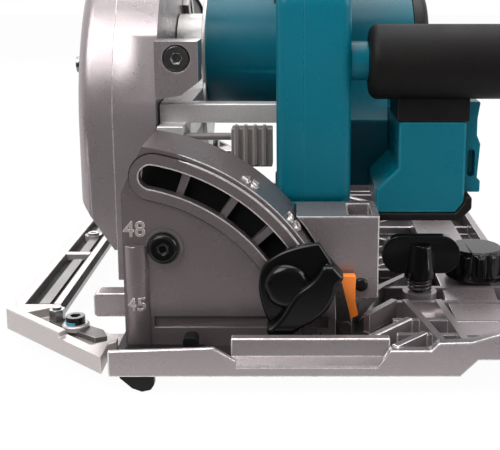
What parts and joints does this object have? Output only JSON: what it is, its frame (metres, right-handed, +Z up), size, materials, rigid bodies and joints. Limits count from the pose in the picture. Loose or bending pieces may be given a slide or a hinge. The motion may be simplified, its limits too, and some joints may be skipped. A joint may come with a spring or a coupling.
{
  "type": "plunge-cut circular saw",
  "caption": "Cordless rail-guided plunge circular saw with bevel quadrants, blade case, sprung head, front grip, D-handle and battery.",
  "frame": {"origin": "on the sole, between the bevel axis and the rail groove", "axes": "+X to the motor side, -Y to the front, +Z up from the sole"},
  "size_m": [0.239, 0.3, 0.2621],
  "materials": {
    "magnesium": "fine sand-textured warm grey paint on a magnesium casting",
    "steel": "zinc plated steel",
    "black_steel": "black oxide steel",
    "blade_steel": "ground steel",
    "cast_aluminium": "bare die cast aluminium",
    "teal_shell": "glossy moulded plastic",
    "black_plastic": "semi-gloss moulded plastic",
    "soft_grip": "matt soft grip",
    "orange_plastic": "moulded plastic",
    "red_plastic": "moulded plastic",
    "laminations": "stacked sheet"
  },
  "bodies": {
    "base": {"base_plate": "magnesium", "sub_base": "magnesium", "sub_base_link": "steel", "link_bolt": "black_steel", "front_quadrant": "magnesium", "stop_screw": "black_steel", "zero_stop_block": "magnesium", "pointer_plate": "black_steel", "rear_quadrant": "magnesium", "fence_spring_front": "steel", "fence_spring_rear": "steel"},
    "anti_tip": {"anti_tip_slide": "black_plastic"},
    "minus_lever": {"minus_one_lever": "orange_plastic"},
    "fence_front": {"fence_screw_front": "black_plastic"},
    "fence_rear": {"fence_screw_rear": "black_plastic"},
    "knob_front": {"rail_knob_front": "black_plastic"},
    "knob_rear": {"rail_knob_rear": "black_plastic"},
    "carriage": {"front_bracket": "magnesium", "pivot_pin": "steel", "bevel_bolt_front": "steel", "blade_case": "magnesium", "lug_screw": "steel", "blade_cover": "magnesium", "case_screws": "steel", "dust_nozzle": "black_plastic", "depth_scale": "steel", "rear_bracket": "magnesium", "bevel_bolt_rear": "steel"},
    "lever_front": {"bevel_lever_front": "black_plastic"},
    "lever_rear": {"bevel_lever_rear": "black_plastic"},
    "depth_stop": {"depth_stop": "black_plastic"},
    "head": {"gear_housing": "cast_aluminium", "spindle_bearing": "steel", "gear_cover": "cast_aluminium", "motor_housing": "teal_shell", "motor_cap": "black_plastic", "stator": "laminations", "rotor_bearing": "steel", "handle_left": "teal_shell", "handle_right": "teal_shell", "grip_base": "teal_shell", "grip_bumper": "soft_grip", "grip_neck": "soft_grip", "front_grip": "soft_grip", "battery_mount": "black_plastic"},
    "spindle": {"spindle": "steel", "drive_gear": "steel", "inner_flange": "steel", "blade": "blade_steel", "outer_flange": "steel", "blade_bolt": "steel"},
    "rotor": {"rotor_shaft": "steel", "rotor_core": "laminations", "fan": "black_plastic"},
    "trigger": {"trigger": "black_plastic"},
    "lock_off": {"lock_off": "black_plastic"},
    "speed_dial": {"speed_dial": "black_plastic"},
    "shaft_lock": {"shaft_lock": "black_plastic"},
    "battery": {"battery_pack": "black_plastic"},
    "latch": {"battery_latch": "red_plastic"}
  },
  "joints": [
    {"name": "bevel", "type": "hinge", "parent": "base", "child": "carriage", "pos_m": [-0.085, 0, -0.005], "axis": [0, -1, 0], "range_deg": [0, 48]},
    {"name": "plunge", "type": "hinge", "parent": "carriage", "child": "head", "pos_m": [0, -0.07, 0.04], "axis": [-1, 0, 0], "range_deg": [0, 36], "stiffness_Nm_per_rad": 4.5, "springref_deg": -68.75},
    {"name": "blade_spin", "type": "hinge", "parent": "head", "child": "spindle", "pos_m": [-0.088, 0.015, 0.087], "axis": [1, 0, 0], "continuous": true},
    {"name": "rotor_spin", "type": "hinge", "parent": "head", "child": "rotor", "pos_m": [0, 0.0201, 0.11593], "axis": [1, 0, 0], "continuous": true},
    {"name": "anti_tip_move", "type": "slide", "parent": "base", "child": "anti_tip", "axis": [1, 0, 0], "range_m": [0, 0.009]},
    {"name": "minus_lever_turn", "type": "hinge", "parent": "base", "child": "minus_lever", "pos_m": [0.0113, -0.116, 0.0097], "axis": [0, 1, 0], "range_deg": [0, 18]},
    {"name": "fence_front_turn", "type": "hinge", "parent": "base", "child": "fence_front", "pos_m": [0.048, -0.082, 0.02], "axis": [0, 0, 1], "range_deg": [0, 180]},
    {"name": "fence_rear_turn", "type": "hinge", "parent": "base", "child": "fence_rear", "pos_m": [0.062, 0.118, 0.02], "axis": [0, 0, 1], "range_deg": [0, 180]},
    {"name": "knob_front_turn", "type": "hinge", "parent": "base", "child": "knob_front", "pos_m": [0.078, -0.06, 0.015], "axis": [0, 0, 1], "range_deg": [0, 90]},
    {"name": "knob_rear_turn", "type": "hinge", "parent": "base", "child": "knob_rear", "pos_m": [0.078, 0.084, 0.015], "axis": [0, 0, 1], "range_deg": [0, 90]},
    {"name": "lever_front_turn", "type": "hinge", "parent": "carriage", "child": "lever_front", "pos_m": [-0.00957, -0.13, 0.03082], "axis": [0, 1, 0], "range_deg": [0, 40]},
    {"name": "lever_rear_turn", "type": "hinge", "parent": "carriage", "child": "lever_rear", "pos_m": [-0.05318, 0.13, 0.02682], "axis": [0, 1, 0], "range_deg": [0, 40]},
    {"name": "depth_stop_move", "type": "hinge", "parent": "carriage", "child": "depth_stop", "pos_m": [-0.07, -0.07, 0.04], "axis": [1, 0, 0], "range_deg": [0, 36]},
    {"name": "trigger_pull", "type": "hinge", "parent": "head", "child": "trigger", "pos_m": [-0.002, -0.01268, 0.21279], "axis": [-1, 0, 0], "range_deg": [0, 9], "stiffness_Nm_per_rad": 0.4, "springref_deg": -8.59},
    {"name": "lock_off_push", "type": "slide", "parent": "head", "child": "lock_off", "axis": [1, 0, 0], "range_m": [0, 0.0025], "stiffness_N_per_m": 300, "springref_m": -0.003},
    {"name": "speed_dial_turn", "type": "hinge", "parent": "head", "child": "speed_dial", "pos_m": [0.015, 0.07392, 0.22633], "axis": [1, 0, 0], "range_deg": [-130, 130]},
    {"name": "shaft_lock_push", "type": "slide", "parent": "head", "child": "shaft_lock", "axis": [-1, 0, 0], "range_m": [0, 0.003], "stiffness_N_per_m": 400, "springref_m": -0.003},
    {"name": "battery_slide", "type": "slide", "parent": "head", "child": "battery", "axis": [0, 0.8086, 0.5883], "range_m": [0, 0.09]},
    {"name": "latch_push", "type": "slide", "parent": "battery", "child": "latch", "axis": [0, 0.5883, -0.8086], "range_m": [0, 0.003], "stiffness_N_per_m": 300, "springref_m": -0.003}
  ],
  "couplings": [
    {"joint": "rotor_spin", "follows": "blade_spin", "ratio": -3.2727}
  ]
}
